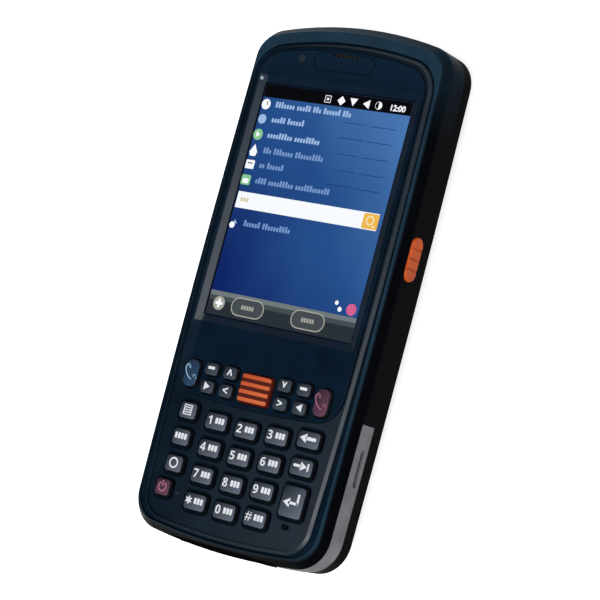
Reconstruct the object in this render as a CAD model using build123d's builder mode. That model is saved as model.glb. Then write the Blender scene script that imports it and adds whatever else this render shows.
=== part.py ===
from build123d import *

import os

# Rugged hand-held barcode terminal, lying on its back. Millimetres.
# +Z out of the display, +Y towards the scanning end, +X the right-hand side.
# The origin is the middle of the back face, in the middle of the length and the width.

# ---- driving dimensions ----
length = 158.6
half_width = 36.05           # middle of the side walls, which bow out a little
half_width_ends = 35.35
wall = 2.4

head_bow = 4.9               # rise of the head's arc over the full width
foot_bow = 3.1
head_corner = 9.6
foot_corner = 10.3

# levels, from the back face up
flank_z = 11.6               # the side walls are upright above it and slope in below it
parting_z = 15.6             # rear housing below, front cover above
guard_low_z = 16.1
guard_top_z = 22.2           # the walls lean in above it, as far as the shoulder
shoulder_z = 24.05           # the rim's slope starts here
rim_z = 25.4
ledge_low_z = 22.4
ledge_z = 24.0               # the fascia and the screen bezel lie on it
display_z = 25.0
fascia_z = 25.4
margin_z = 25.0                # the fascia's margin, outside its ridge
ridge_z = 26.1
bezel_z = 26.2
key_top_z = 26.6
function_top_z = 27.6

shoulder_in = 1.35           # how far the shoulder and the rim's edge stand in from the walls
rim_in = 2.4
display_width = 53.28
display_height = 71.04
display_y = 23.2

# back face
back_half_width = 26.7
back_head_y = 76.4
back_foot_y = -75.6
back_edge = 1.2
floor = 2.2

# front panel
panel_half_width = 33.1
panel_head_y = 73.4
panel_foot_y = -76.3
panel_gap = 0.3
ledge_half_width = 28.1
ledge_head_y = 68.8
ledge_foot_y = -71.8
screen_half_width = 30.5
screen_head_y = 71.2
screen_foot_y = -37.6
screen_gap = 0.15
bezel_edge = 0.35
ridge_in = 0.4
ridge_foot_draw = 1.8         # the ridge runs inwards towards the foot
ridge_width = 1.2
ridge_outer_slope = 0.8      # the ridge slopes gently outwards and steeply inwards
ridge_inner_slope = 0.2

# touch panel and display
panel_glass_width = 57.0
panel_glass_height = 75.6
window_margin = 0.45
window_bevel = 2.3
window_bevel_depth = 0.9

# keys
column_pitch = 11.1
row_pitch = 8.0
first_row_y = -43.3
smile = 1.65                 # the outer columns stand this much higher than the middle one
key_width = 8.2
key_height = 5.4
side_key_width = 6.6
key_travel = 0.5
key_gap = 0.18
key_flange = 0.4
key_flange_thickness = 0.6
key_flange_top_z = 23.8
key_corner = 1.2
call_key_corner = 2.1
key_crown = 0.3
key_draft = 0.45
key_draft_height = 1.0
pocket_margin = 0.85
rib_gap = 1.05               # gap between the ribs of the select key
pocket_depth = 0.6
select_y = -31.4
small_key_y = -31.0
small_key_pitch = 5.4

# side controls
button_y = 15.0
button_z = 19.2
button_length = 13.0
button_height = 5.2
button_proud = 0.8
side_gap = 0.15
side_flange = 0.5
side_flange_thickness = 0.6
button_root_x = 32.9
groove_pitch = 3.0
groove_width = 0.6
groove_depth = 0.35
volume_y = 46.0
volume_length = 18.0
volume_height = 4.4
volume_root_x = -34.2
volume_pivot_x = -32.7
volume_pivot_radius = 0.6
port_y = -19.3
port_length = 15.5
port_height = 6.0
port_thickness = 1.2
connector_x = -33.45
connector_y = port_y + port_length / 2 - 0.4

# lower guards
guard_head_y = -33.7
guard_thickness = 1.2
guard_inner_x = 26.0
slot_y = -46.0
slot_z = 18.2
slot_length = 11.0
slot_height = 2.0

# battery pack and latch
pack_half_width = 23.0
pack_head_y = 3.8
pack_foot_y = -64.0
pack_height = 9.4
pack_gap = 0.25
bay_wall = 1.6
latch_y = 9.6
latch_width = 12.0
latch_length = 5.4
latch_thickness = 1.4
latch_travel = 2.4

# boards
board_z = 18.6
board_thickness = 1.2
board_half_width = 30.0
board_half_length = 64.0

# screws
mid_screw_x = 30.8
mid_screw_y = 1.5
screw_points = [(28.6, 69.0), (mid_screw_x, mid_screw_y), (28.6, -71.0)]
boss_radius = 2.2
screw_radius = 1.0
screw_head_radius = 1.9
screw_head_height = 1.3
screw_head_z = 9.4
screw_tip_z = 20.6

# microphone and lights
mic_point = (21.4, -67.0)
light_point = (-15.5, 67.4)
light_radius = 1.25
charge_light_point = (-18.9, -65.8)
charge_light_radius = 0.65
sensor_point = (-28.4, 60.1)
sensor_radius = 0.55

# receiver: a narrow slot in the top of an oval groove
receiver_y = 69.6
receiver_length = 9.0
receiver_height = 1.2
oval_y = 67.4
oval_length = 22.0
oval_height = 6.0
oval_groove = 0.5

# parts of the head
window_half_width = 14.4
window_low_z = 3.0
window_high_z = 12.4
window_y = 75.6
window_thickness = 1.2


def plate(z, half, half_ends, head, head_bow, foot, foot_bow, head_radius, foot_radius, inset=0.0,
          foot_draw=0.0):
    """Outline with four bowed sides and rounded corners at height z, moved inwards by the inset.

    The foot can be drawn in, so that it is narrower than the head.
    """
    corner_x = half_ends - inset
    foot_x = corner_x - foot_draw
    head_y = head - inset
    foot_y = foot + inset
    head_edge = head_y - head_bow * (corner_x / half_ends) ** 2
    foot_edge = foot_y + foot_bow * (foot_x / half_ends) ** 2
    with BuildSketch(Plane.XY.offset(z)) as outline:
        with BuildLine():
            ThreePointArc((-corner_x, head_edge), (0, head_y), (corner_x, head_edge))
            ThreePointArc((corner_x, head_edge), (half - inset, 0), (foot_x, foot_edge))
            ThreePointArc((foot_x, foot_edge), (0, foot_y), (-foot_x, foot_edge))
            ThreePointArc((-foot_x, foot_edge), (inset - half, 0), (-corner_x, head_edge))
        make_face()
        fillet(outline.vertices().group_by(Axis.Y)[-1], head_radius - inset)
        fillet(outline.vertices().group_by(Axis.Y)[0], foot_radius - inset)
    return outline.sketch


def body_plate(z, inset=0.0):
    """Outline of the terminal's side walls."""
    return plate(z, half_width, half_width_ends, length / 2, head_bow, -length / 2, foot_bow,
                 head_corner, foot_corner, inset)


def back_plate(z, inset=0.0):
    """Outline of the flat back face, inside the sloping flanks."""
    return plate(z, back_half_width, back_half_width - 0.5, back_head_y, 2.8,
                 back_foot_y, 1.2, 8.0, 7.0, inset)


def panel_plate(z, inset=0.0):
    """Outline of the front fascia."""
    return plate(z, panel_half_width, panel_half_width - 0.7, panel_head_y, 4.2,
                 panel_foot_y, 2.4, 10.5, 8.8, inset)


def ridge_plate(z, inset=0.0):
    """Outline of the raised part of the fascia, inside its lower margin."""
    return plate(z, panel_half_width, panel_half_width - 0.7, panel_head_y, 4.2,
                 panel_foot_y, 2.4, 10.5, 8.8, inset + ridge_in, ridge_foot_draw)


def ledge_opening(z):
    """Outline of the opening inside the ledge under the panel."""
    return plate(z, ledge_half_width, ledge_half_width - 0.4, ledge_head_y, 3.2,
                 ledge_foot_y, 1.8, 7.8, 5.3)


def screen_plate(z, inset=0.0):
    """Outline of the screen bezel, whose lower corners wrap round the call and end keys."""
    return plate(z, screen_half_width, screen_half_width - 0.4, screen_head_y, 3.7,
                 screen_foot_y, 1.7, 8.8, 9.0, inset)


def smile_y(x, y):
    """Height of a key in the curved rows."""
    return y + smile * (x / (2 * column_pitch)) ** 2


# ---- keys: name, x, y, width, height ----
keypad_keys = []
row_names = [
    ["key_symbol", "key_1", "key_2", "key_3", "key_back"],
    ["key_mode", "key_4", "key_5", "key_6", "key_tab"],
    ["key_ring", "key_7", "key_8", "key_9", None],
    [None, "key_star", "key_0", "key_hash", None],
]
for row, names in enumerate(row_names):
    for column, name in enumerate(names):
        if name:
            key_x = (column - 2) * column_pitch
            key_w = side_key_width if column == 0 else key_width
            keypad_keys.append((name, key_x, smile_y(key_x, first_row_y - row * row_pitch), key_w, key_height))
keypad_keys.append(("key_enter", 2 * column_pitch, -59.7, 8.4, 9.6))
keypad_keys.append(("key_power", -24.0, -65.1, 5.8, 5.4))

function_keys = []
for side, letter in ((-1, "left"), (1, "right")):
    for spot, key_x in (("inner", 10.0), ("outer", 16.9)):
        for level, sign in (("upper", 1), ("lower", -1)):
            function_keys.append((f"key_{letter}_{spot}_{level}", side * key_x,
                                  small_key_y + sign * small_key_pitch / 2, 5.3, 4.3))
function_keys.append(("key_call", -23.9, -30.7, 5.4, 8.6))
function_keys.append(("key_end", 23.9, -30.7, 5.4, 8.6))
function_keys.append(("key_select", 0.0, select_y, 11.2, 9.0))

pieces = {}


def corner_of(name):
    """Corner radius of a keycap: the call and end keys are rounder than the rest."""
    return call_key_corner if name in ("key_call", "key_end") else key_corner


def make_key(name, x, y, width, height, top_z):
    """Keycap with a drafted, crowned top and a flange that holds it under its bezel."""
    corner = corner_of(name)
    draft_z = top_z - key_draft_height
    flange_low_z = key_flange_top_z - key_flange_thickness
    with BuildPart() as key:
        with BuildSketch(Plane.XY.offset(flange_low_z)):
            with Locations((x, y)):
                RectangleRounded(width + 2 * key_flange, height + 2 * key_flange, corner)
        extrude(amount=key_flange_thickness)
        with BuildSketch(Plane.XY.offset(key_flange_top_z)):
            with Locations((x, y)):
                RectangleRounded(width, height, corner)
        extrude(amount=draft_z - key_flange_top_z)
        with BuildSketch(Plane.XY.offset(draft_z)):
            with Locations((x, y)):
                RectangleRounded(width, height, corner)
        with BuildSketch(Plane.XY.offset(top_z)):
            with Locations((x, y)):
                RectangleRounded(width - 2 * key_draft, height - 2 * key_draft, corner - key_draft / 2)
        loft(ruled=True)
        if name == "key_select":
            with BuildSketch(Plane.XY.offset(top_z)):
                with Locations((x, y)):
                    with GridLocations(0, height / 4, 1, 3):
                        Rectangle(width, rib_gap)
            extrude(amount=-0.5, mode=Mode.SUBTRACT)
        else:
            fillet(key.faces().sort_by(Axis.Z)[-1].edges(), key_crown)
    pieces[name] = key


def key_openings(keys, z, margin):
    """Rounded openings for the keys, wider than the caps by the margin, at height z."""
    with BuildSketch(Plane.XY.offset(z)) as openings:
        for name, x, y, width, height in keys:
            with Locations((x, y)):
                RectangleRounded(width + 2 * margin, height + 2 * margin, corner_of(name) + margin)
    return openings.sketch


for key_entry in keypad_keys:
    make_key(*key_entry, key_top_z)
for key_entry in function_keys:
    make_key(*key_entry, function_top_z)

# ---- front fascia: plate with a low margin, a ridge, the keypad's pockets and the screen bezel's opening ----
with BuildPart() as front_fascia:
    extrude(panel_plate(ledge_z), amount=margin_z - ledge_z)
    extrude(ridge_plate(margin_z), amount=fascia_z - margin_z)
    loft([ridge_plate(fascia_z), ridge_plate(ridge_z, ridge_outer_slope)], ruled=True)
    loft([ridge_plate(fascia_z, ridge_width), ridge_plate(ridge_z, ridge_width - ridge_inner_slope)],
         ruled=True, mode=Mode.SUBTRACT)
    extrude(screen_plate(ledge_z), amount=ridge_z, mode=Mode.SUBTRACT)
    extrude(key_openings(keypad_keys, fascia_z, key_gap), amount=-4, mode=Mode.SUBTRACT)
    extrude(key_openings(keypad_keys, fascia_z, pocket_margin), amount=-pocket_depth, mode=Mode.SUBTRACT)
    # recess and hole of the microphone, hole of the charge light
    with BuildSketch(Plane.XY.offset(fascia_z)):
        with Locations(mic_point):
            SlotOverall(2.8, 1.6)
    extrude(amount=-0.7, mode=Mode.SUBTRACT)
    with BuildSketch(Plane.XY.offset(fascia_z)):
        with Locations(mic_point):
            Circle(0.5)
        with Locations(charge_light_point):
            Circle(charge_light_radius + 0.05)
    extrude(amount=-3, mode=Mode.SUBTRACT)
pieces["front_fascia"] = front_fascia

# ---- screen bezel: window, function key holes, receiver oval and slot, light and sensor holes ----
with BuildPart() as screen_bezel:
    extrude(screen_plate(ledge_z, screen_gap), amount=bezel_z - bezel_edge - ledge_z)
    loft([screen_plate(bezel_z - bezel_edge, screen_gap), screen_plate(bezel_z, screen_gap + bezel_edge)],
         ruled=True)
    with BuildSketch(Plane.XY.offset(ledge_z)):
        with Locations((0, display_y)):
            Rectangle(panel_glass_width + 0.2, panel_glass_height + 0.2)
    extrude(amount=display_z - ledge_z, mode=Mode.SUBTRACT)
    with BuildSketch(Plane.XY.offset(bezel_z)):
        with Locations((0, display_y)):
            Rectangle(display_width + 2 * window_margin, display_height + 2 * window_margin)
    extrude(amount=-3, mode=Mode.SUBTRACT)
    for z, reach in ((bezel_z, window_bevel), (bezel_z - window_bevel_depth, 0)):
        with BuildSketch(Plane.XY.offset(z)):
            with Locations((0, display_y)):
                Rectangle(display_width + 2 * (window_margin + reach), display_height + 2 * (window_margin + reach))
    loft(ruled=True, mode=Mode.SUBTRACT)
    extrude(key_openings(function_keys, bezel_z, key_gap), amount=-4, mode=Mode.SUBTRACT)
    with BuildSketch(Plane.XY.offset(bezel_z)):
        with Locations((0, oval_y)):
            SlotOverall(oval_length, oval_height)
            SlotOverall(oval_length - 2 * oval_groove, oval_height - 2 * oval_groove, mode=Mode.SUBTRACT)
    extrude(amount=-oval_groove, mode=Mode.SUBTRACT)
    with BuildSketch(Plane.XY.offset(bezel_z)):
        with Locations((0, receiver_y)):
            SlotOverall(receiver_length, receiver_height)
        with Locations(light_point):
            Circle(light_radius + 0.05)
        with Locations(sensor_point):
            Circle(sensor_radius + 0.05)
    extrude(amount=-3, mode=Mode.SUBTRACT)
pieces["screen_bezel"] = screen_bezel

with BuildPart() as receiver_grille:
    with BuildSketch(Plane.XY.offset(ledge_z)):
        with Locations((0, receiver_y)):
            SlotOverall(receiver_length - 0.1, receiver_height - 0.1)
    extrude(amount=1.4)
    with BuildSketch(Plane.XY.offset(ledge_z)):
        with Locations((0, receiver_y)):
            with GridLocations(1.6, 0, 5, 1):
                SlotOverall(0.8, 0.5)
    extrude(amount=1.4, mode=Mode.SUBTRACT)
pieces["receiver_grille"] = receiver_grille

with BuildPart() as receiver:
    with BuildSketch(Plane.XY.offset(21.2)):
        with Locations((0, oval_y - 2.0)):
            RectangleRounded(15, 6, 2)
    extrude(amount=2.6)
pieces["receiver"] = receiver

# scan status light in the screen bezel, charge light in the fascia
with BuildPart() as status_lights:
    with BuildSketch(Plane.XY.offset(ledge_z)):
        with Locations(light_point):
            Circle(light_radius)
    extrude(amount=bezel_z + 0.15 - ledge_z)
    fillet(status_lights.edges().sort_by(Axis.Z)[-1], 0.3)
    with BuildSketch(Plane.XY.offset(ledge_low_z)):
        with Locations(charge_light_point):
            Circle(charge_light_radius)
    extrude(amount=fascia_z + 0.1 - ledge_low_z)
pieces["status_lights"] = status_lights

with BuildPart() as light_sensor:
    with BuildSketch(Plane.XY.offset(25.2)):
        with Locations(sensor_point):
            Circle(sensor_radius)
    extrude(amount=0.85)
pieces["light_sensor"] = light_sensor

# ---- display ----
with BuildPart() as touch_panel:
    with BuildSketch(Plane.XY.offset(ledge_z)):
        with Locations((0, display_y)):
            RectangleRounded(panel_glass_width, panel_glass_height, 0.8)
    extrude(amount=display_z - ledge_z)
pieces["touch_panel"] = touch_panel

with BuildPart() as lcd_module:
    with BuildSketch(Plane.XY.offset(board_z + board_thickness + 0.1)):
        with Locations((0, display_y)):
            RectangleRounded(54.8, 74.6, 1.0)
    extrude(amount=ledge_z - board_z - board_thickness - 0.1)
pieces["lcd_module"] = lcd_module

# ---- keypad mat: rubber sheet with a dome under each key ----
mat_z = board_z + board_thickness
dome_low_z = mat_z + 1.2
dome_top_z = key_flange_top_z - key_flange_thickness - key_travel - 0.15
with BuildPart() as keypad_mat:
    with BuildSketch(Plane.XY.offset(mat_z)):
        with Locations((0, -47.8)):
            RectangleRounded(54.4, 45.6, 6.0)
    extrude(amount=dome_low_z - mat_z)
    with Locations([(x, y, dome_low_z) for _, x, y, _, _ in keypad_keys + function_keys]):
        Cone(1.9, 1.5, dome_top_z - dome_low_z, align=(Align.CENTER, Align.CENTER, Align.MIN))
pieces["keypad_mat"] = keypad_mat

# ---- main board: sheet with shield cans, battery connector and side switches ----
with BuildPart() as main_board:
    with BuildSketch(Plane.XY.offset(board_z)):
        RectangleRounded(2 * board_half_width, 2 * board_half_length, 3)
        with Locations((-mid_screw_x, mid_screw_y), (mid_screw_x, mid_screw_y)):
            Circle(boss_radius + 0.8, mode=Mode.SUBTRACT)
    extrude(amount=board_thickness)
    with BuildSketch(Plane.XY.offset(board_z)):
        with Locations((-12, 38), (-14, -20)):
            RectangleRounded(24, 20, 1)
        with Locations((15, 40)):
            RectangleRounded(16, 22, 1)
        with Locations((14, -22)):
            RectangleRounded(20, 26, 1)
        with Locations((0, -50)):
            RectangleRounded(34, 12, 1)
    extrude(amount=-1.8)
    with BuildSketch(Plane.XY.offset(board_z)):
        with Locations((-28.2, button_y), (28.2, button_y), (-28.2, volume_y - 5), (-28.2, volume_y + 5)):
            Rectangle(3.2, 4.4)
    extrude(amount=-1.4)
pieces["main_board"] = main_board


# ---- lower guards: light grey strips let into the side walls and round the foot's corners ----
def guard_blank():
    """Right-hand strip, without its slot."""
    with BuildPart() as blank:
        extrude(body_plate(guard_low_z), amount=guard_top_z - guard_low_z)
        extrude(body_plate(guard_low_z, guard_thickness), amount=guard_top_z - guard_low_z, mode=Mode.SUBTRACT)
        with BuildSketch(Plane.XY.offset(guard_low_z)):
            with Locations((guard_inner_x, guard_head_y)):
                Rectangle(20, 60, align=(Align.MIN, Align.MAX))
        extrude(amount=guard_top_z - guard_low_z, mode=Mode.INTERSECT)
    return blank.part


with BuildPart() as side_guard_right:
    add(guard_blank())
    with BuildSketch(Plane.YZ.offset(half_width)):
        with Locations((slot_y, slot_z)):
            SlotOverall(slot_length, slot_height)
    extrude(amount=-4, mode=Mode.SUBTRACT)
pieces["side_guard_right"] = side_guard_right

with BuildPart() as side_guard_left:
    add(mirror(side_guard_right.part, about=Plane.YZ, mode=Mode.PRIVATE))
pieces["side_guard_left"] = side_guard_left

# ---- front cover: side walls, sloping front edge, rim, and the ledge under the panel ----
dock_half_width = 24.0
dock_step_y = -77.8
with BuildPart() as front_cavity:
    extrude(body_plate(parting_z, wall), amount=ledge_low_z - parting_z)
    for x, y in screw_points:
        with BuildSketch(Plane.XY.offset(parting_z)):
            with Locations((x, y), (-x, y)):
                Circle(boss_radius)
        extrude(amount=ledge_low_z - parting_z, mode=Mode.SUBTRACT)
    extrude(ledge_opening(ledge_low_z), amount=ledge_z - ledge_low_z)
    extrude(panel_plate(ledge_z, -panel_gap), amount=rim_z - ledge_z + 1)

with BuildPart() as front_cover:
    extrude(body_plate(parting_z), amount=guard_top_z - parting_z)
    loft([body_plate(guard_top_z), body_plate(shoulder_z, shoulder_in)], ruled=True)
    loft([body_plate(shoulder_z, shoulder_in), body_plate(rim_z, rim_in)], ruled=True)
    add(front_cavity.part, mode=Mode.SUBTRACT)
    # lower guards
    add(guard_blank(), mode=Mode.SUBTRACT)
    add(mirror(guard_blank(), about=Plane.YZ, mode=Mode.PRIVATE), mode=Mode.SUBTRACT)
    # step over the docking recess, and the recess itself
    with BuildSketch(Plane.XY.offset(guard_top_z)):
        with Locations((0, dock_step_y)):
            Rectangle(2 * dock_half_width, 10, align=(Align.CENTER, Align.MAX))
    extrude(amount=5, mode=Mode.SUBTRACT)
    with BuildSketch(Plane.XZ.offset(length / 2)):
        with Locations((0, button_z)):
            RectangleRounded(34, 4.4, 1)
    extrude(amount=-6, mode=Mode.SUBTRACT)
    # scan button holes, volume key hole, port recess and its connector opening
    with BuildSketch(Plane.YZ):
        with Locations((button_y, button_z)):
            SlotOverall(button_length + 2 * side_gap, button_height + 2 * side_gap)
    extrude(amount=50, both=True, mode=Mode.SUBTRACT)
    with BuildSketch(Plane.YZ):
        with Locations((volume_y, button_z)):
            SlotOverall(volume_length + 0.6, volume_height + 2 * side_gap)
        with Locations((connector_y, button_z)):
            RectangleRounded(9.6, 3.2, 0.8)
    extrude(amount=-50, mode=Mode.SUBTRACT)
    with BuildSketch(Plane.YZ.offset(-half_width - 1)):
        with Locations((port_y - port_thickness / 2 - side_gap, button_z)):
            Rectangle(port_length + port_thickness / 2 + 2 * side_gap, port_height + 2 * side_gap,
                      align=(Align.MIN, Align.CENTER))
    extrude(amount=1 + port_thickness + 0.25, mode=Mode.SUBTRACT)
    # slot for the strap, behind the slots of the guards
    with BuildSketch(Plane.YZ):
        with Locations((slot_y, slot_z)):
            SlotOverall(slot_length, slot_height)
    extrude(amount=50, both=True, mode=Mode.SUBTRACT)
    # way through the ledge from the receiver to its slot
    with BuildSketch(Plane.XY.offset(ledge_z)):
        with Locations((0, receiver_y - 0.6)):
            SlotOverall(receiver_length + 1, receiver_height + 1)
    extrude(amount=ledge_low_z - ledge_z, mode=Mode.SUBTRACT)
    # pilot holes of the screws
    for x, y in screw_points:
        with BuildSketch(Plane.XY.offset(parting_z)):
            with Locations((x, y), (-x, y)):
                Circle(screw_radius + 0.03)
        extrude(amount=screw_tip_z + 0.3 - parting_z, mode=Mode.SUBTRACT)
pieces["front_cover"] = front_cover

# ---- side controls ----
with BuildPart() as scan_button_right:
    with BuildSketch(Plane.YZ.offset(button_root_x)):
        with Locations((button_y, button_z)):
            SlotOverall(button_length + 2 * side_flange, button_height + 2 * side_flange)
    extrude(amount=side_flange_thickness)
    with BuildSketch(Plane.YZ.offset(button_root_x)):
        with Locations((button_y, button_z)):
            SlotOverall(button_length, button_height)
    extrude(amount=half_width + button_proud - button_root_x)
    fillet(scan_button_right.faces().sort_by(Axis.X)[-1].edges(), 0.6)
    with BuildSketch(Plane.YZ.offset(half_width + button_proud)):
        with Locations((button_y, button_z)):
            with GridLocations(groove_pitch, 0, 3, 1):
                Rectangle(groove_width, button_height)
    extrude(amount=-groove_depth, mode=Mode.SUBTRACT)
pieces["scan_button_right"] = scan_button_right

with BuildPart() as scan_button_left:
    add(mirror(scan_button_right.part, about=Plane.YZ, mode=Mode.PRIVATE))
pieces["scan_button_left"] = scan_button_left

# the volume rocker turns about a pin behind the wall
with BuildPart() as volume_rocker:
    with BuildSketch(Plane.YZ.offset(volume_root_x)):
        with Locations((volume_y, button_z)):
            SlotOverall(volume_length, volume_height)
    extrude(amount=-(half_width + 0.3 + volume_root_x))
    fillet(volume_rocker.faces().sort_by(Axis.X)[0].edges(), 0.5)
    with BuildSketch(Plane.YZ.offset(volume_root_x)):
        with Locations((volume_y, button_z)):
            Rectangle(2.0, 3.0)
    extrude(amount=1.6)
    with Locations((volume_pivot_x, volume_y, button_z)):
        Cylinder(volume_pivot_radius, volume_height + 1.2)
pieces["volume_rocker"] = volume_rocker

hinge_x = -(half_width - port_thickness / 2 - 0.1)
with BuildPart() as port_cover:
    with BuildSketch(Plane.XY.offset(button_z - port_height / 2)):
        with Locations((hinge_x, port_y)):
            Circle(port_thickness / 2)
            Rectangle(port_thickness, port_length - side_gap, align=(Align.CENTER, Align.MIN))
    extrude(amount=port_height)
    # finger nib at the free end
    with BuildSketch(Plane.XY.offset(button_z - 1.5)):
        with Locations((hinge_x - port_thickness / 2, port_y + port_length - 1.6)):
            Circle(0.35)
    extrude(amount=3.0)
pieces["port_cover"] = port_cover

with BuildPart() as side_connector:
    with BuildSketch(Plane.YZ.offset(connector_x)):
        with Locations((connector_y, button_z)):
            RectangleRounded(9.0, 2.8, 0.6)
    extrude(amount=-0.9)
    with BuildSketch(Plane.YZ.offset(connector_x)):
        with Locations((connector_y, button_z)):
            Rectangle(10.4, 4.4)
    extrude(amount=3.3)
    with BuildSketch(Plane.YZ.offset(connector_x - 0.9)):
        with Locations((connector_y, button_z)):
            RectangleRounded(8.0, 1.8, 0.4)
    extrude(amount=2.4, mode=Mode.SUBTRACT)
pieces["side_connector"] = side_connector

# ---- rear housing: upright wall, sloping flanks, flat back with the battery bay ----
bay_half_width = pack_half_width + pack_gap
bay_head_y = pack_head_y + pack_gap
bay_foot_y = pack_foot_y - pack_gap
bay_z = pack_height + 0.1
camera_y = 46.0
speaker_y = 26.0
with BuildPart() as rear_cavity:
    extrude(body_plate(flank_z, wall), amount=parting_z - flank_z)
    loft([back_plate(floor, 2.0), body_plate(flank_z, wall)], ruled=True)
    for x, y in screw_points:
        with BuildSketch(Plane.XY):
            with Locations((x, y), (-x, y)):
                Circle(boss_radius + 0.8)
        extrude(amount=parting_z, mode=Mode.SUBTRACT)
    # walls of the battery bay
    with BuildSketch(Plane.XY):
        with Locations((0, (bay_head_y + bay_foot_y) / 2)):
            Rectangle(2 * (bay_half_width + bay_wall), bay_head_y - bay_foot_y + 2 * bay_wall)
    extrude(amount=bay_z + bay_wall, mode=Mode.SUBTRACT)
    # thicker floor round the latch, and the frame of the scan window
    with BuildSketch(Plane.XY):
        with Locations((0, latch_y + 1)):
            Rectangle(latch_width + 6, latch_length + latch_travel + 5)
    extrude(amount=floor + 1.6, mode=Mode.SUBTRACT)
    with BuildSketch(Plane.XY):
        with Locations((0, window_y - 1.6)):
            Rectangle(2 * window_half_width + 5, 10, align=(Align.CENTER, Align.MIN))
    extrude(amount=window_high_z + 1.6, mode=Mode.SUBTRACT)

with BuildPart() as rear_housing:
    extrude(body_plate(flank_z), amount=parting_z - flank_z)
    loft([back_plate(back_edge), body_plate(flank_z)], ruled=True)
    loft([back_plate(0, back_edge), back_plate(back_edge)], ruled=True)
    add(rear_cavity.part, mode=Mode.SUBTRACT)
    with BuildSketch(Plane.XY):
        with Locations((0, (bay_head_y + bay_foot_y) / 2)):
            RectangleRounded(2 * bay_half_width, bay_head_y - bay_foot_y, 2)
    extrude(amount=bay_z, mode=Mode.SUBTRACT)
    # opening for the battery contacts
    with BuildSketch(Plane.XY.offset(bay_z)):
        with Locations((0, pack_head_y - 6)):
            Rectangle(16.2, 5.2)
    extrude(amount=bay_wall, mode=Mode.SUBTRACT)
    # latch pocket, with a window for the latch's stem
    with BuildSketch(Plane.XY):
        with Locations((0, latch_y + latch_travel / 2)):
            RectangleRounded(latch_width + 2 * side_gap, latch_length + latch_travel + 2 * side_gap, 1.0)
    extrude(amount=0.2 + latch_thickness + 0.1, mode=Mode.SUBTRACT)
    # camera hole, loudspeaker slots
    with BuildSketch(Plane.XY):
        with Locations((0, camera_y)):
            Circle(4.65)
        with Locations((0, speaker_y)):
            with GridLocations(3.0, 0, 5, 1):
                SlotOverall(9.0, 1.3, rotation=90)
    extrude(amount=floor + 2, mode=Mode.SUBTRACT)
    # scan window: seat for the pane, then the opening behind it
    with BuildSketch(Plane.XZ.offset(-window_y)):
        with Locations((0, (window_low_z + window_high_z) / 2)):
            RectangleRounded(2 * window_half_width + 0.2, window_high_z - window_low_z + 0.2, 1.3)
    extrude(amount=-8, mode=Mode.SUBTRACT)
    with BuildSketch(Plane.XZ.offset(-window_y)):
        with Locations((0, (window_low_z + window_high_z) / 2)):
            RectangleRounded(2 * window_half_width - 3, window_high_z - window_low_z - 3, 1.0)
    extrude(amount=6, mode=Mode.SUBTRACT)
    # seal groove
    extrude(body_plate(parting_z, 0.7), amount=-0.6, mode=Mode.SUBTRACT)
    extrude(body_plate(parting_z - 0.6, 1.6), amount=0.6)
    extrude(body_plate(parting_z - 0.6, wall), amount=0.6, mode=Mode.SUBTRACT)
    for x, y in screw_points:
        with BuildSketch(Plane.XY.offset(parting_z - 0.6)):
            with Locations((x, y), (-x, y)):
                Circle(boss_radius)
        extrude(amount=0.6)
        with BuildSketch(Plane.XY):
            with Locations((x, y), (-x, y)):
                Circle(screw_radius + 0.1)
        extrude(amount=parting_z, mode=Mode.SUBTRACT)
        with BuildSketch(Plane.XY):
            with Locations((x, y), (-x, y)):
                Circle(screw_head_radius + 0.2)
        extrude(amount=screw_head_z, mode=Mode.SUBTRACT)
pieces["rear_housing"] = rear_housing

with BuildPart() as housing_seal:
    extrude(body_plate(parting_z - 0.6, 0.75), amount=0.6)
    extrude(body_plate(parting_z - 0.6, 1.55), amount=0.6, mode=Mode.SUBTRACT)
pieces["housing_seal"] = housing_seal

with BuildPart() as housing_screws:
    for x, y in screw_points:
        with BuildSketch(Plane.XY.offset(screw_head_z - screw_head_height)):
            with Locations((x, y), (-x, y)):
                Circle(screw_head_radius)
        extrude(amount=screw_head_height)
        with BuildSketch(Plane.XY.offset(screw_head_z)):
            with Locations((x, y), (-x, y)):
                Circle(screw_radius)
        extrude(amount=screw_tip_z - screw_head_z)
        with BuildSketch(Plane.XY.offset(screw_head_z - screw_head_height)):
            with Locations((x, y), (-x, y)):
                Rectangle(2.0, 0.6)
                Rectangle(0.6, 2.0)
        extrude(amount=0.7, mode=Mode.SUBTRACT)
pieces["housing_screws"] = housing_screws

# ---- head: scan window and scan engine ----
with BuildPart() as scan_window:
    with BuildSketch(Plane.XZ.offset(-window_y)):
        with Locations((0, (window_low_z + window_high_z) / 2)):
            RectangleRounded(2 * window_half_width, window_high_z - window_low_z, 1.2)
    extrude(amount=-window_thickness)
pieces["scan_window"] = scan_window

with BuildPart() as scan_engine:
    with BuildSketch(Plane.XY.offset(3.4)):
        with Locations((0, 64.6)):
            RectangleRounded(22, 17, 1.5)
    extrude(amount=9.6)
    with BuildSketch(Plane.XZ.offset(-73.1)):
        with Locations((-5.5, 8)):
            Circle(3.0)
        with Locations((5.5, 8)):
            RectangleRounded(7, 4.5, 1)
    extrude(amount=-0.6)
pieces["scan_engine"] = scan_engine

# ---- back: camera and loudspeaker ----
with BuildPart() as camera_module:
    with BuildSketch(Plane.XY.offset(0.5)):
        with Locations((0, camera_y)):
            Circle(4.5)
    extrude(amount=3.5)
    with BuildSketch(Plane.XY.offset(4.0)):
        with Locations((0, camera_y)):
            Rectangle(9, 9)
    extrude(amount=3.0)
    with Locations(Plane((0, camera_y, 0.5), z_dir=(0, 0, -1))):
        Hole(2.2, depth=0.8)
pieces["camera_module"] = camera_module

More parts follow.
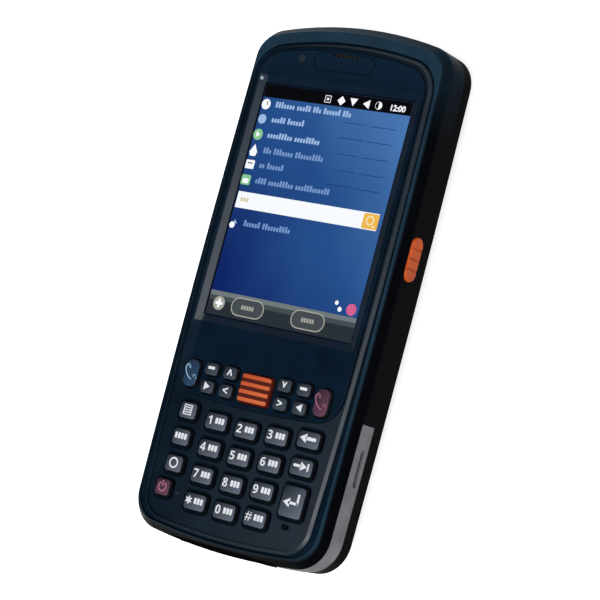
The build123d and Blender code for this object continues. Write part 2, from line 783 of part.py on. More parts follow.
with BuildPart() as loudspeaker:
    with BuildSketch(Plane.XY.offset(floor)):
        with Locations((0, speaker_y)):
            Circle(8.0)
    extrude(amount=3.0)
    with BuildSketch(Plane.XY.offset(floor + 3.0)):
        with Locations((0, speaker_y)):
            Circle(4.5)
    extrude(amount=1.5)
pieces["loudspeaker"] = loudspeaker

# ---- docking connector ----
with BuildPart() as dock_connector:
    with BuildSketch(Plane.XZ.offset(78.9)):
        with Locations((0, button_z)):
            RectangleRounded(33.7, 4.1, 0.9)
    extrude(amount=-1.8)
    with BuildSketch(Plane.XZ.offset(77.1)):
        with Locations((0, button_z - 0.7)):
            Rectangle(30, 2.7)
    extrude(amount=-6.0)
    with BuildSketch(Plane.XZ.offset(78.9)):
        with Locations((0, button_z)):
            with GridLocations(1.6, 0, 18, 1):
                Rectangle(0.8, 2.6)
    extrude(amount=-0.5, mode=Mode.SUBTRACT)
pieces["dock_connector"] = dock_connector

# ---- battery pack, its cell, contacts and latch ----
pack_y = (pack_head_y + pack_foot_y) / 2
pack_length = pack_head_y - pack_foot_y
with BuildPart() as battery_pack:
    with BuildSketch():
        with Locations((0, pack_y)):
            RectangleRounded(2 * pack_half_width, pack_length, 1.8)
    extrude(amount=pack_height)
    chamfer(battery_pack.faces().sort_by(Axis.Z)[0].edges(), 0.5)
    with BuildSketch(Plane.XY.offset(1.2)):
        with Locations((0, pack_y)):
            Rectangle(2 * pack_half_width - 2.4, pack_length - 2.4)
    extrude(amount=pack_height - 2.4, mode=Mode.SUBTRACT)
    # finger groove across the foot end
    with BuildSketch(Plane.XY):
        with Locations((0, pack_foot_y + 9)):
            SlotOverall(22, 3.4)
    extrude(amount=0.7, mode=Mode.SUBTRACT)
pieces["battery_pack"] = battery_pack

with BuildPart() as battery_cell:
    with BuildSketch(Plane.XY.offset(1.4)):
        with Locations((0, pack_y - 1)):
            RectangleRounded(2 * pack_half_width - 3.2, pack_length - 5.2, 1.5)
    extrude(amount=pack_height - 2.8)
pieces["battery_cell"] = battery_cell

with BuildPart() as battery_contacts:
    with BuildSketch(Plane.XY.offset(bay_z)):
        with Locations((0, pack_head_y - 6)):
            Rectangle(16, 5)
    extrude(amount=3.4)
    with BuildSketch(Plane.XY.offset(bay_z)):
        with Locations((0, pack_head_y - 6)):
            with GridLocations(3.6, 0, 4, 1):
                Rectangle(1.2, 3.4)
    extrude(amount=0.3, mode=Mode.SUBTRACT)
pieces["battery_contacts"] = battery_contacts

with BuildPart() as battery_latch:
    with BuildSketch(Plane.XY.offset(0.2)):
        with Locations((0, latch_y)):
            RectangleRounded(latch_width, latch_length, 0.9)
    extrude(amount=latch_thickness)
    with BuildSketch(Plane.XY.offset(0.2)):
        with Locations((0, latch_y)):
            with GridLocations(0, 1.2, 1, 3):
                Rectangle(8.0, 0.5)
    extrude(amount=0.35, mode=Mode.SUBTRACT)
pieces["battery_latch"] = battery_latch

# ---- one file per piece ----
os.makedirs("parts", exist_ok=True)
for name, piece in pieces.items():
    piece.part.label = name
    export_step(piece.part, f"parts/{name}.step")
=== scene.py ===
import math

import bpy
from mathutils import Matrix, Vector


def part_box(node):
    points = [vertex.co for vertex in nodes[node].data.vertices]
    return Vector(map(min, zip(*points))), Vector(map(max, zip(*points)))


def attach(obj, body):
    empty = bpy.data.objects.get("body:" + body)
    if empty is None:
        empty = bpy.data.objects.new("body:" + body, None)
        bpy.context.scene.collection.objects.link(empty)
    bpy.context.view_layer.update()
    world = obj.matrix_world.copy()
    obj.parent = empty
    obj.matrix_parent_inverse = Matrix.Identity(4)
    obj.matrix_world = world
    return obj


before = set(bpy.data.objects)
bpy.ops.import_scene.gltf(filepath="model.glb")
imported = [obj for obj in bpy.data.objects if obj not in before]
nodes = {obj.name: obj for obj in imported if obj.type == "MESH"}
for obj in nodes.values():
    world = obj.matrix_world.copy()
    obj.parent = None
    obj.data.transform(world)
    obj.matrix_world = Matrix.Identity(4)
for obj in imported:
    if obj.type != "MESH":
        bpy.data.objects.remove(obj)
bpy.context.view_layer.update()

# Hand-held barcode terminal lying on its back, in metres: +Z out of the display, +Y towards
# the scanning end, +X the right-hand side. Each section below finishes some of the solid pieces,
# or adds what is printed on them, lit in them or let into them.
mm = 0.001

# Camera: a long lens above the right-hand side, aimed by the display's middle. The three turns
# and the shift carry the terminal into the camera's axes.
display_middle = Vector((0.0, 23.2 * mm, 25.0 * mm))
camera_distance = 650 * mm
camera_shift = Vector((2.2245 * mm, 26.235 * mm, 0.0))
tilt, swing, roll = math.radians(-4.9507), math.radians(-36.192), math.radians(-14.9327)
focal_pixels = 2237.83
image_pixels = 600

turn = Matrix.Rotation(roll, 3, "Z") @ Matrix.Rotation(tilt, 3, "X") @ Matrix.Rotation(swing, 3, "Y")
turn_back = turn.transposed()
bpy.ops.object.camera_add()
camera = bpy.context.object
camera.name = "camera"
camera.data.sensor_width = 36
camera.data.lens = camera.data.sensor_width * focal_pixels / image_pixels
camera.data.clip_start = 0.01
place = display_middle + turn_back @ (Vector((0, 0, camera_distance)) - camera_shift)
camera.matrix_world = Matrix.Translation(place) @ turn_back.to_4x4()
bpy.context.scene.camera = camera

# Studio: a white floor in a pale surround, a large soft lamp overhead on the right, and a weaker
# one past the head. The large lamp glints on what slopes to the right, while the flat front faces
# stay dark. Floor and surround show white to the camera, and pale in reflections.
floor_radius = 6.0
floor_z = -0.05 * mm
floor_white = 0.93
glow_in_mirrors = 0.08
glow_to_camera = 0.66
surround_as_light = 0.22
lamps = {
    "right_lamp": {"spot": (0.49, -0.5, 1.2), "size": 0.75, "watts": 17.5},
    "head_lamp": {"spot": (-0.25, 1.2, 0.9), "size": 0.7, "watts": 1.5},
}
bpy.context.scene.view_settings.view_transform = "Standard"
bpy.ops.mesh.primitive_circle_add(vertices=64, radius=floor_radius, fill_type="NGON",
                                  location=(0, 0, floor_z))
floor = bpy.context.object
floor.name = "floor"


def seen_rays(tree):
    """1 for camera, mirror and transmission rays, as a node's output."""
    path = tree.nodes.new("ShaderNodeLightPath")
    total = path.outputs["Is Camera Ray"]
    for kind in ("Is Glossy Ray", "Is Transmission Ray"):
        either = tree.nodes.new("ShaderNodeMath")
        either.operation = "MAXIMUM"
        tree.links.new(total, either.inputs[0])
        tree.links.new(path.outputs[kind], either.inputs[1])
        total = either.outputs["Value"]
    return total


white_floor = bpy.data.materials.new("white_floor")
white_floor.use_nodes = True
tree = white_floor.node_tree
paint = tree.nodes["Principled BSDF"]
paint.inputs["Base Color"].default_value = (floor_white, floor_white, floor_white, 1)
paint.inputs["Roughness"].default_value = 0.9
paint.inputs["Specular IOR Level"].default_value = 0.0
paint.inputs["Emission Color"].default_value = (1, 1, 1, 1)
faint = tree.nodes.new("ShaderNodeMath")
faint.operation = "MULTIPLY"
faint.inputs[1].default_value = glow_in_mirrors
tree.links.new(seen_rays(tree), faint.inputs[0])
lift = tree.nodes.new("ShaderNodeMath")
lift.operation = "MULTIPLY_ADD"
lift.inputs[1].default_value = glow_to_camera
tree.links.new(tree.nodes["Light Path"].outputs["Is Camera Ray"], lift.inputs[0])
tree.links.new(faint.outputs["Value"], lift.inputs[2])
tree.links.new(lift.outputs["Value"], paint.inputs["Emission Strength"])
floor.data.materials.append(white_floor)

surround = bpy.data.worlds.new("surround")
surround.use_nodes = True
tree = surround.node_tree
background = tree.nodes["Background"]
background.inputs["Color"].default_value = (0.98, 0.99, 1.0, 1)
strength = tree.nodes.new("ShaderNodeMapRange")
strength.inputs["To Min"].default_value = surround_as_light
strength.inputs["To Max"].default_value = 1.0
tree.links.new(seen_rays(tree), strength.inputs["Value"])
tree.links.new(strength.outputs["Result"], background.inputs["Strength"])
bpy.context.scene.world = surround


def soft_lamp(name, spot, size, watts):
    """Square area lamp at a spot, turned towards the display's middle."""
    bpy.ops.object.light_add(type="AREA", location=spot)
    lamp = bpy.context.object
    lamp.name = name
    lamp.data.shape = "SQUARE"
    lamp.data.size = size
    lamp.data.energy = watts
    lamp.rotation_mode = "QUATERNION"
    lamp.rotation_quaternion = (display_middle - Vector(spot)).to_track_quat("-Z", "Y")


for name, lamp in lamps.items():
    soft_lamp(name, **lamp)


# Moulded plastic of the casings: satin, with a fine spark-eroded grain, faint mottling of the
# gloss, and edges that catch the light as rounded ones do.
fine_grain = 0.28 * mm
edge_radius = 0.16 * mm


def moulded(name, colour, roughness, grain=0.12, grain_size=fine_grain, shine=0.18):
    """Material of one moulded plastic, on the piece's own coordinates."""
    material = bpy.data.materials.new(name)
    material.use_nodes = True
    tree = material.node_tree
    shader = tree.nodes["Principled BSDF"]
    shader.inputs["Specular IOR Level"].default_value = shine
    spot = tree.nodes.new("ShaderNodeTexCoord")

    mottle = tree.nodes.new("ShaderNodeTexNoise")
    mottle.inputs["Scale"].default_value = 140
    mottle.inputs["Detail"].default_value = 4
    tree.links.new(spot.outputs["Object"], mottle.inputs["Vector"])
    tint = tree.nodes.new("ShaderNodeValToRGB")
    tint.color_ramp.elements[0].position = 0.3
    tint.color_ramp.elements[0].color = [0.8 * c for c in colour] + [1]
    tint.color_ramp.elements[1].position = 0.7
    tint.color_ramp.elements[1].color = [1.2 * c for c in colour] + [1]
    tree.links.new(mottle.outputs["Fac"], tint.inputs["Fac"])
    tree.links.new(tint.outputs["Color"], shader.inputs["Base Color"])
    gloss = tree.nodes.new("ShaderNodeMapRange")
    gloss.inputs["To Min"].default_value = roughness - 0.07
    gloss.inputs["To Max"].default_value = roughness + 0.07
    tree.links.new(mottle.outputs["Fac"], gloss.inputs["Value"])
    tree.links.new(gloss.outputs["Result"], shader.inputs["Roughness"])

    speckle = tree.nodes.new("ShaderNodeTexNoise")
    speckle.inputs["Scale"].default_value = 1 / grain_size
    speckle.inputs["Detail"].default_value = 2
    tree.links.new(spot.outputs["Object"], speckle.inputs["Vector"])
    rounded = tree.nodes.new("ShaderNodeBevel")
    rounded.samples = 4
    rounded.inputs["Radius"].default_value = edge_radius
    bump = tree.nodes.new("ShaderNodeBump")
    bump.inputs["Strength"].default_value = grain
    bump.inputs["Distance"].default_value = 0.04 * mm
    tree.links.new(speckle.outputs["Fac"], bump.inputs["Height"])
    tree.links.new(rounded.outputs["Normal"], bump.inputs["Normal"])
    tree.links.new(bump.outputs["Normal"], shader.inputs["Normal"])
    return material


def finish(material, *names):
    """Gives CAD nodes their material."""
    for name in names:
        nodes[name].data.materials.clear()
        nodes[name].data.materials.append(material)


def level_along(material, axis, start, end, before, after):
    """Value that changes between two places on the piece, along one of its axes, as a node's output."""
    tree = material.node_tree
    axes = tree.nodes.new("ShaderNodeSeparateXYZ")
    tree.links.new(tree.nodes["Texture Coordinate"].outputs["Object"], axes.inputs["Vector"])
    change = tree.nodes.new("ShaderNodeMapRange")
    change.inputs["From Min"].default_value = start
    change.inputs["From Max"].default_value = end
    change.inputs["To Min"].default_value = before
    change.inputs["To Max"].default_value = after
    tree.links.new(axes.outputs[axis], change.inputs["Value"])
    return change.outputs["Result"]


def combined(material, operation, first, second):
    """Two values joined by one sum, as a node's output."""
    node = material.node_tree.nodes.new("ShaderNodeMath")
    node.operation = operation
    material.node_tree.links.new(first, node.inputs[0])
    material.node_tree.links.new(second, node.inputs[1])
    return node.outputs["Value"]


def drive(material, socket, output):
    """Links a value to a socket of the shader."""
    shader = material.node_tree.nodes["Principled BSDF"]
    material.node_tree.links.new(output, shader.inputs[socket])


# Front cover: the outer shell of the front, moulded in black and lacquered navy on its rim, down
# to the shoulder where the side walls begin; the black of the side walls is partly painted shade.
# The navy that runs over the head end is painted light, and the rim's navy fades towards the foot.
shoulder_z = 24.0 * mm
rim_z = 25.4 * mm
# The side walls' black is partly painted shade.
wall_black_and_shade = (0.0012, 0.0014, 0.0022)
navy = moulded("rim_navy", (0.0115, 0.0315, 0.053), 0.3)
tree = navy.node_tree
on_rim = level_along(navy, "Z", shoulder_z + 0.5 * mm, shoulder_z + 1.15 * mm, 0, 1)
above_foot = level_along(navy, "Y", -77 * mm, -66 * mm, 0.3, 1)
on_rim = combined(navy, "MULTIPLY", on_rim, above_foot)
# Painted light: navy spread over the walls at the head end.
head_corners_painted_light = level_along(navy, "Y", 50 * mm, 68 * mm, 0, 0.3)
head_end_painted_light = level_along(navy, "Y", 71 * mm, 77 * mm, 0, 0.6)
on_head = combined(navy, "ADD", head_corners_painted_light, head_end_painted_light)
coated = tree.nodes.new("ShaderNodeMix")
coated.data_type = "RGBA"
coated.inputs["A"].default_value = (*wall_black_and_shade, 1)
tree.links.new(combined(navy, "MAXIMUM", on_rim, on_head), coated.inputs["Factor"])
tree.links.new(tree.nodes["Color Ramp"].outputs["Color"], coated.inputs["B"])
drive(navy, "Base Color", coated.outputs["Result"])
drive(navy, "Specular IOR Level", level_along(navy, "Z", shoulder_z, rim_z, 0.012, 0.03))
finish(navy, "front_cover")

# Front fascia: the keypad's plate, dropped into the front cover, in a darker lacquer. Its flat
# faces are matt, and its ridge carries a painted highlight: its shine is raised towards the right and
# the lower keys, where the lamp glints, but not along the foot. The low margin outside the ridge has no
# shine.
fascia_z = 25.4 * mm
margin_z = 25.0 * mm
fascia_navy = moulded("fascia_navy", (0.0036, 0.0098, 0.0185), 0.3, grain=0.08)
on_ridge = level_along(fascia_navy, "Z", fascia_z, fascia_z + 0.15 * mm, 0.2, 1)
above_foot = level_along(fascia_navy, "Y", -73 * mm, -62 * mm, 0.2, 1)
off_margin = level_along(fascia_navy, "Z", margin_z + 0.05 * mm, fascia_z - 0.05 * mm, 0, 1)
# Painted highlight: the ridge's shine is raised towards the right and towards the foot.
to_right = level_along(fascia_navy, "X", -25 * mm, 28 * mm, 0.1, 1)
to_foot = level_along(fascia_navy, "Y", -70 * mm, 30 * mm, 1, 0.25)
painted_highlight = combined(fascia_navy, "MULTIPLY", to_right, to_foot)
painted_highlight = combined(fascia_navy, "MULTIPLY", painted_highlight, off_margin)
on_ridge = combined(fascia_navy, "MINIMUM", on_ridge, above_foot)
drive(fascia_navy, "Specular IOR Level", combined(fascia_navy, "MULTIPLY", on_ridge, painted_highlight))
finish(fascia_navy, "front_fascia")

# Screen bezel: the upper plate, round the display and the function keys. It is a little paler
# past the display, as painted light, and the left bevel of the display's window carries a painted
# highlight, a raised shine that fades towards the head.
bezel_z = 26.2 * mm
bezel_navy = moulded("bezel_navy", (0.0035, 0.0105, 0.0225), 0.3, grain=0.06)
tree = bezel_navy.node_tree
# Painted light: paler past the display.
paler_as_painted_light = tree.nodes.new("ShaderNodeMix")
paler_as_painted_light.data_type = "RGBA"
paler_as_painted_light.inputs["B"].default_value = (0.0055, 0.0165, 0.033, 1)
tree.links.new(level_along(bezel_navy, "Y", 58 * mm, 68 * mm, 0, 1), paler_as_painted_light.inputs["Factor"])
tree.links.new(tree.nodes["Color Ramp"].outputs["Color"], paler_as_painted_light.inputs["A"])
drive(bezel_navy, "Base Color", paler_as_painted_light.outputs["Result"])
on_bevel = level_along(bezel_navy, "Z", bezel_z - 0.15 * mm, bezel_z, 1, 0.05)
# Painted highlight: shine raised on the left bevel only, less towards the head.
on_left = level_along(bezel_navy, "X", -27.0 * mm, -26.0 * mm, 1, 0.06)
downwards = level_along(bezel_navy, "Y", -15 * mm, 60 * mm, 0.85, 0.35)
painted_highlight = combined(bezel_navy, "MULTIPLY", on_left, downwards)
drive(bezel_navy, "Specular IOR Level", combined(bezel_navy, "MULTIPLY", on_bevel, painted_highlight))
finish(bezel_navy, "screen_bezel")

# Rear half: rear housing and battery pack, moulded in black with a coarser grain for a firm hold.
# The volume rocker in the left wall is of a smoother, slightly paler black, and the battery latch
# is dark grey.
coarse_grain = 0.45 * mm
rear_colour = (0.0022, 0.0024, 0.003)
rear_black = moulded("rear_black", rear_colour, 0.55, grain=0.3, grain_size=coarse_grain, shine=0.015)
finish(rear_black, "rear_housing", "battery_pack")
finish(moulded("rocker_black", (0.007, 0.008, 0.01), 0.45, grain=0.06), "volume_rocker")
finish(moulded("latch_grey", (0.06, 0.063, 0.07), 0.5), "battery_latch")

# Lower guards: light grey strips of hard plastic, let into the side walls and round the foot's
# corners, where the terminal is knocked most. Each has a slot for a strap's cord.
guard_grey = moulded("guard_grey", (0.168, 0.165, 0.178), 0.5, grain=0.1, shine=0.06)
finish(guard_grey, "side_guard_left", "side_guard_right")

# Scan buttons: caps of satin orange plastic with three grooves, one in each side wall. A flange
# behind the wall holds each of them in, and a small switch on the main board pushes it out.
scan_orange = moulded("scan_orange", (0.49, 0.08, 0.017), 0.4, grain=0.05, shine=0.1)
finish(scan_orange, "scan_button_left", "scan_button_right")

# Rubber pieces: the port cover over the side connector, the keypad mat with its domes under the
# keys, and the seal laid between the housing halves. All are soft and dark.
rubber = moulded("soft_rubber", (0.011, 0.012, 0.014), 0.8, grain=0.2, shine=0.2)
finish(rubber, "port_cover", "keypad_mat", "housing_seal")

# Small black mouldings: grille, receiver, loudspeaker, scan engine, camera body and docking
# connector, of a stiff black plastic and held in pockets of the housing.
part_black = moulded("part_black", (0.008, 0.008, 0.009), 0.55, grain=0.05)
finish(part_black, "receiver_grille", "receiver", "loudspeaker", "scan_engine", "camera_module",
       "dock_connector")


# Metal pieces: blackened screws, the display's frame, the side connector's stamped shell, the
# foil round the battery cell, and the gold-plated battery contacts. Fine brushing runs along Y.
def metal(name, colour, roughness):
    """Metal with fine brushing along Y."""
    material = bpy.data.materials.new(name)
    material.use_nodes = True
    tree = material.node_tree
    shader = tree.nodes["Principled BSDF"]
    shader.inputs["Metallic"].default_value = 1.0
    shader.inputs["Base Color"].default_value = (*colour, 1)
    spot = tree.nodes.new("ShaderNodeTexCoord")
    stretch = tree.nodes.new("ShaderNodeMapping")
    stretch.inputs["Scale"].default_value = (9000, 300, 9000)
    tree.links.new(spot.outputs["Object"], stretch.inputs["Vector"])
    brushing = tree.nodes.new("ShaderNodeTexNoise")
    brushing.inputs["Scale"].default_value = 1.0
    tree.links.new(stretch.outputs["Vector"], brushing.inputs["Vector"])
    gloss = tree.nodes.new("ShaderNodeMapRange")
    gloss.inputs["To Min"].default_value = roughness - 0.12
    gloss.inputs["To Max"].default_value = roughness + 0.12
    tree.links.new(brushing.outputs["Fac"], gloss.inputs["Value"])
    tree.links.new(gloss.outputs["Result"], shader.inputs["Roughness"])
    bump = tree.nodes.new("ShaderNodeBump")
    bump.inputs["Strength"].default_value = 0.1
    bump.inputs["Distance"].default_value = 0.02 * mm
    tree.links.new(brushing.outputs["Fac"], bump.inputs["Height"])
    tree.links.new(bump.outputs["Normal"], shader.inputs["Normal"])
    return material


finish(metal("blackened_steel", (0.12, 0.12, 0.13), 0.4), "housing_screws")
finish(metal("frame_metal", (0.55, 0.56, 0.58), 0.35), "lcd_module", "side_connector", "battery_cell")
contact_gold = metal("contact_gold", (0.83, 0.58, 0.22), 0.3)
finish(contact_gold, "battery_contacts")

# Main board: a stiff sheet under green lacquer, held between the housing halves. Its shield cans
# and side switches are one solid with it, and have the same finish.
finish(moulded("board_green", (0.01, 0.09, 0.04), 0.35, shine=0.5), "main_board")


# Clear and smoked pieces: the dark red scan window, the smoked lenses over the status lights and
# the pale one over the light sensor, of glossy plastic set into their openings.
def smoked(name, colour, coat=0.6):
    """Glossy dark pane or lens, faintly uneven in colour."""
    material = moulded(name, colour, 0.15, grain=0.01, shine=0.8 * coat)
    material.node_tree.nodes["Principled BSDF"].inputs["Coat Weight"].default_value = coat
    return material


finish(smoked("scan_pane", (0.03, 0.002, 0.004)), "scan_window")
finish(smoked("status_lens", (0.008, 0.016, 0.022), coat=0.1), "status_lights")
finish(smoked("sensor_lens", (0.35, 0.42, 0.48)), "light_sensor")


# Keys: lacquered caps, held under the fascia by their flanges. The lacquer is only on the top,
# with painted shade at its top left and painted light towards its bottom right; the skirt of the
# cap is black. The select key's lacquer is orange, and its three grooves show its dark red body.
def key_lacquer(name, dark, light, skirt=(0.004, 0.005, 0.007), rib_pitch=None):
    """Lacquer of one key, with painted shade and light across its own face."""
    material = bpy.data.materials.new(name + "_lacquer")
    material.use_nodes = True
    tree = material.node_tree
    shader = tree.nodes["Principled BSDF"]
    shader.inputs["Roughness"].default_value = 0.3
    shader.inputs["Specular IOR Level"].default_value = 0.1
    low, high = (Vector(corner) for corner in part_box(name))
    middle = (low + high) / 2
    spot = tree.nodes.new("ShaderNodeTexCoord")
    centre = tree.nodes.new("ShaderNodeMapping")
    centre.inputs["Location"].default_value = -middle
    tree.links.new(spot.outputs["Object"], centre.inputs["Vector"])
    axes = tree.nodes.new("ShaderNodeSeparateXYZ")
    tree.links.new(centre.outputs["Vector"], axes.inputs["Vector"])
    across = tree.nodes.new("ShaderNodeMath")
    across.operation = "MULTIPLY"
    across.inputs[1].default_value = 1 / (high.x - low.x)
    tree.links.new(axes.outputs["X"], across.inputs[0])
    # Painted shade at the top left of the face, painted light towards the bottom right.
    painted_light_slant = tree.nodes.new("ShaderNodeMath")
    painted_light_slant.operation = "MULTIPLY_ADD"
    painted_light_slant.inputs[1].default_value = -1 / (high.y - low.y)
    tree.links.new(axes.outputs["Y"], painted_light_slant.inputs[0])
    tree.links.new(across.outputs["Value"], painted_light_slant.inputs[2])
    spread = tree.nodes.new("ShaderNodeMapRange")
    spread.inputs["From Min"].default_value = -0.7
    spread.inputs["From Max"].default_value = 0.7
    tree.links.new(painted_light_slant.outputs["Value"], spread.inputs["Value"])
    shade = tree.nodes.new("ShaderNodeValToRGB")
    shade.color_ramp.elements[0].color = (*dark, 1)
    shade.color_ramp.elements[1].color = (*light, 1)
    tree.links.new(spread.outputs["Result"], shade.inputs["Fac"])
    on_top = tree.nodes.new("ShaderNodeMapRange")
    on_top.inputs["From Min"].default_value = high.z - middle.z - 0.3 * mm
    on_top.inputs["From Max"].default_value = high.z - middle.z - 0.12 * mm
    tree.links.new(axes.outputs["Z"], on_top.inputs["Value"])
    lacquered = on_top.outputs["Result"]
    if rib_pitch:
        angle = tree.nodes.new("ShaderNodeMath")
        angle.operation = "MULTIPLY"
        angle.inputs[1].default_value = 2 * math.pi / rib_pitch
        tree.links.new(axes.outputs["Y"], angle.inputs[0])
        wave = tree.nodes.new("ShaderNodeMath")
        wave.operation = "COSINE"
        tree.links.new(angle.outputs["Value"], wave.inputs[0])
        crest = tree.nodes.new("ShaderNodeMapRange")
        crest.inputs["From Min"].default_value = 0.2
        crest.inputs["From Max"].default_value = -0.25
        tree.links.new(wave.outputs["Value"], crest.inputs["Value"])
        lacquered = combined(material, "MULTIPLY", lacquered, crest.outputs["Result"])
    coated = tree.nodes.new("ShaderNodeMix")
    coated.data_type = "RGBA"
    coated.inputs["A"].default_value = (*skirt, 1)
    tree.links.new(lacquered, coated.inputs["Factor"])
    tree.links.new(shade.outputs["Color"], coated.inputs["B"])
    tree.links.new(coated.outputs["Result"], shader.inputs["Base Color"])
    fleck = tree.nodes.new("ShaderNodeTexNoise")
    fleck.inputs["Scale"].default_value = 2500
    tree.links.new(spot.outputs["Object"], fleck.inputs["Vector"])
    sparkle = tree.nodes.new("ShaderNodeBump")
    sparkle.inputs["Strength"].default_value = 0.08
    sparkle.inputs["Distance"].default_value = 0.03 * mm
    tree.links.new(fleck.outputs["Fac"], sparkle.inputs["Height"])
    tree.links.new(sparkle.outputs["Normal"], shader.inputs["Normal"])
    return material


graphite = ((0.008, 0.012, 0.019), (0.108, 0.127, 0.165))
deep_graphite = ((0.005, 0.009, 0.015), (0.055, 0.07, 0.095))
dark_red = ((0.02, 0.008, 0.016), (0.115, 0.048, 0.082))
steel_blue = ((0.005, 0.016, 0.042), (0.024, 0.062, 0.125))
orange = ((0.5, 0.075, 0.02), (0.65, 0.155, 0.055))
groove_red = (0.085, 0.01, 0.005)
select_rib_pitch = 2.25 * mm
small_keys = [f"key_{side}_{spot}_{level}" for side in ("left", "right")
              for spot in ("inner", "outer") for level in ("upper", "lower")]
own_lacquer = {"key_end": dark_red, "key_power": dark_red, "key_call": steel_blue}
own_lacquer.update({name: deep_graphite for name in small_keys})
for name in nodes:
    if name == "key_select":
        finish(key_lacquer(name, *orange, skirt=groove_red, rib_pitch=select_rib_pitch), name)
    elif name.startswith("key_"):
        finish(key_lacquer(name, *own_lacquer.get(name, graphite)), name)

# Key legends: ink printed 0.03 mm thick on the caps, white but for the call, end and power keys.
# Each number key has its digit at the left and three small bars at the right for its second use.
ink_height = 0.03 * mm


def ink(name, colour):
    """Printed ink, a little uneven where it was laid on."""
    material = bpy.data.materials.new(name)
    material.use_nodes = True
    tree = material.node_tree
    shader = tree.nodes["Principled BSDF"]
    shader.inputs["Roughness"].default_value = 0.45
    spot = tree.nodes.new("ShaderNodeTexCoord")
    patchy = tree.nodes.new("ShaderNodeTexNoise")
    patchy.inputs["Scale"].default_value = 1800
    tree.links.new(spot.outputs["Object"], patchy.inputs["Vector"])
    cover = tree.nodes.new("ShaderNodeValToRGB")
    cover.color_ramp.elements[0].position = 0.25
    cover.color_ramp.elements[0].color = [0.82 * c for c in colour] + [1]
    cover.color_ramp.elements[1].position = 0.5
    cover.color_ramp.elements[1].color = (*colour, 1)
    tree.links.new(patchy.outputs["Fac"], cover.inputs["Fac"])
    tree.links.new(cover.outputs["Color"], shader.inputs["Base Color"])
    return material


def glyph(characters, size, x, y, z, thickness=ink_height, weight=0.0):
    """Raised characters as a closed mesh, centred at x, y with their foot just under z."""
    bpy.ops.object.select_all(action="DESELECT")
    bpy.ops.object.text_add()
    text = bpy.context.object
    text.data.body = characters
    text.data.size = size
    text.data.resolution_u = 3
    text.data.extrude = thickness / 2
    text.data.offset = weight
    bpy.ops.object.convert(target="MESH")
    mark = bpy.context.object
    corners = [v.co for v in mark.data.vertices]
    middle_x = (min(c.x for c in corners) + max(c.x for c in corners)) / 2
    middle_y = (min(c.y for c in corners) + max(c.y for c in corners)) / 2
    mark.location = (x - middle_x, y - middle_y, z + thickness / 4)
    bpy.ops.object.transform_apply(location=True, rotation=True, scale=True)
    return mark


def rounded_bar(x, y, width, height, z, thickness=ink_height, corner=None):
    """Flat bar with rounded corners, as a closed mesh, centred at x, y with its foot just under z."""
    bpy.ops.object.select_all(action="DESELECT")
    middle = (x, y, z + thickness / 4)
    bpy.ops.mesh.primitive_cube_add(size=1, location=middle, scale=(width, height, thickness))
    bpy.ops.object.transform_apply(location=True, rotation=True, scale=True)
    bar = bpy.context.object
    bpy.ops.object.mode_set(mode="EDIT")
    bpy.ops.mesh.select_mode(type="EDGE")
    bpy.ops.mesh.select_all(action="DESELECT")
    bpy.ops.object.mode_set(mode="OBJECT")
    for edge in bar.data.edges:
        a, b = (bar.data.vertices[i].co for i in edge.vertices)
        edge.select = abs(a.z - b.z) > thickness / 2
    bpy.ops.object.mode_set(mode="EDIT")
    reach = min(width, height) * 0.3 if corner is None else corner
    bpy.ops.mesh.bevel(offset=reach, segments=3, affect="EDGES")
    bpy.ops.object.mode_set(mode="OBJECT")
    return bar


def joined(name, parts, material, body):
    """One piece of several closed meshes, with its material, riding on a body."""
    bpy.ops.object.select_all(action="DESELECT")
    for part in parts:
        part.select_set(True)
    bpy.context.view_layer.objects.active = parts[0]
    if len(parts) > 1:
        bpy.ops.object.join()
    piece = bpy.context.object
    piece.name = name
    piece.data.name = name
    piece.data.materials.clear()
    piece.data.materials.append(material)
    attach(piece, body)


white_ink = ink("white_ink", (0.74, 0.76, 0.8))
red_ink = ink("red_ink", (0.36, 0.12, 0.19))
blue_ink = ink("blue_ink", (0.3, 0.5, 0.7))
own_ink = {"key_power": red_ink, "key_end": red_ink, "key_call": blue_ink}
stroke = 0.75 * mm
sign_weight = 0.07 * mm
sign_lift = 0.2 * mm
letter_lift = 0.3 * mm
letter_width = 0.92 * mm
letter_height = 1.8 * mm
letter_places = (0.25 * mm, 1.4 * mm, 2.55 * mm)
word_places = (-1.7 * mm, -0.55 * mm, 0.6 * mm, 1.75 * mm)
digit_place = -2.2 * mm
handset = "\U0001f4de"
first_bold_digit = 0x1D7EC
digit_size = 3.5
signs = {
    "key_symbol": ("▤", 4.0),
    "key_ring": ("○", 4.2),
    "key_power": ("⏻", 3.8),
    "key_star": ("✱", 3.4),
    "key_hash": ("#", 3.8),
    "key_left_inner_upper": ("^", 4.4),
    "key_left_inner_lower": ("<", 3.6),
    "key_left_outer_lower": ("▶", 2.4),
    "key_right_inner_upper": ("v", 3.6),
    "key_right_inner_lower": (">", 3.6),
    "key_right_outer_lower": ("◀", 2.4),
    "key_call": (handset, 4.6),
    "key_end": (handset, 4.6),
}
for digit in range(10):
    signs[f"key_{digit}"] = (chr(first_bold_digit + digit), digit_size)
second_use = [f"key_{digit}" for digit in range(10)] + ["key_star", "key_hash"]


